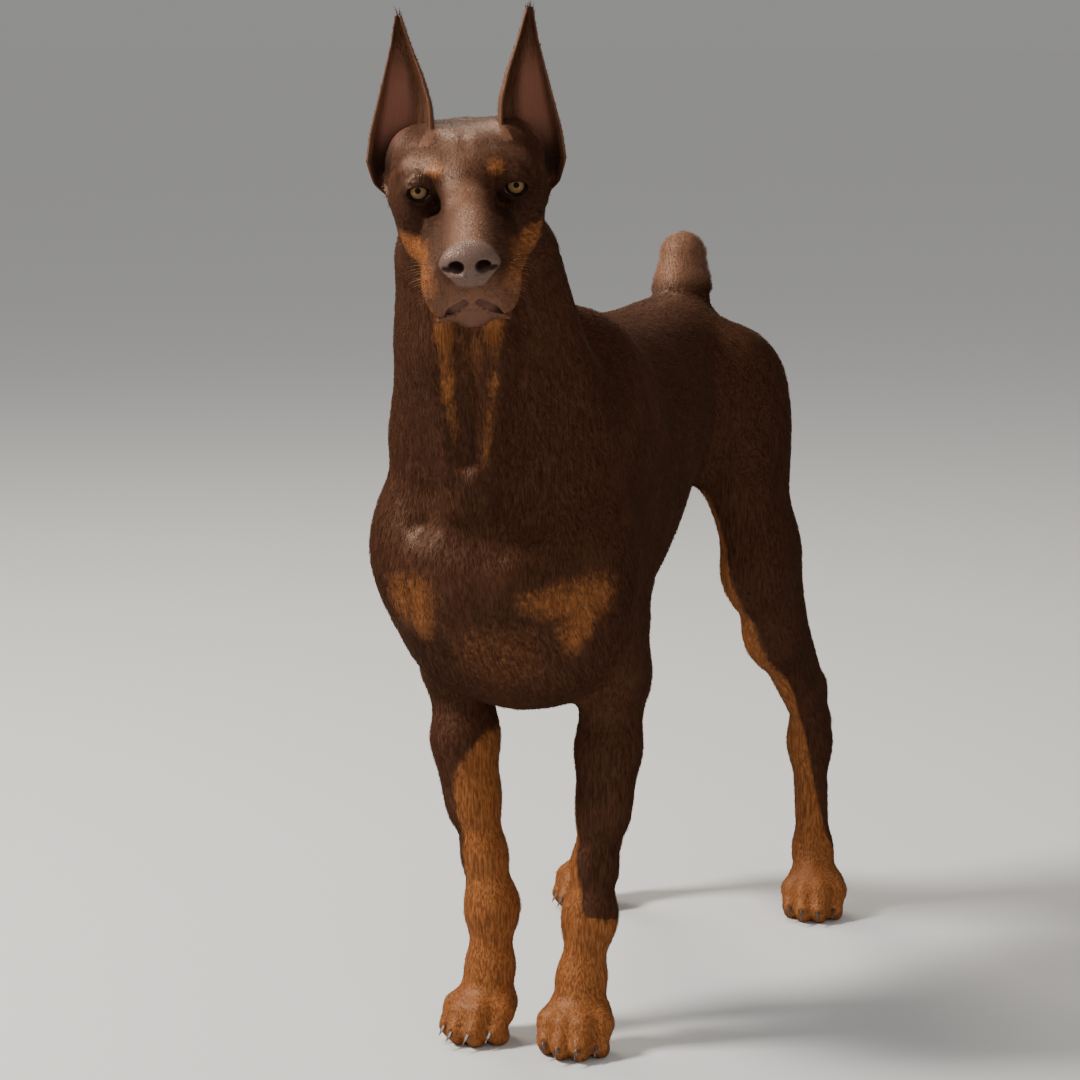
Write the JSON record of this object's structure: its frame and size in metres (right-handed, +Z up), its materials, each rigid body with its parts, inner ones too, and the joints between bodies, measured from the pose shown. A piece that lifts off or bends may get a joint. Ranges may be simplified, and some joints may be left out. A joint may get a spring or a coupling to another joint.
{
  "type": "doberman pinscher",
  "caption": "Still, life-size standing dog with a short brown and rust coat, upright cropped ears and a docked tail, its head turned a little to its left.",
  "frame": {"origin": "on the floor, under the middle of the dog's box", "axes": "+Z up, the dog faces -Y, +X is the dog's own left"},
  "size_m": [0.3254, 1, 0.9908],
  "materials": {
    "brown_coat": "short glossy chocolate brown coat",
    "rust_coat": "short rust coat of the feet",
    "nose_leather": "moist, finely pebbled nose leather",
    "eye": "wet amber eye"
  },
  "bodies": {
    "root": {"torso": "brown_coat", "neck": "brown_coat", "head": "brown_coat", "nose": "nose_leather", "ear_left": "brown_coat", "ear_right": "brown_coat", "eye_left": "eye", "eye_right": "eye", "foreleg_left": "brown_coat", "foreleg_right": "brown_coat", "fore_paw_left": "rust_coat", "fore_paw_right": "rust_coat", "thigh_left": "brown_coat", "thigh_right": "brown_coat", "shank_left": "brown_coat", "shank_right": "brown_coat", "rear_pastern_left": "rust_coat", "rear_pastern_right": "rust_coat", "hind_paw_left": "rust_coat", "hind_paw_right": "rust_coat", "tail": "brown_coat"}
  },
  "joints": []
}
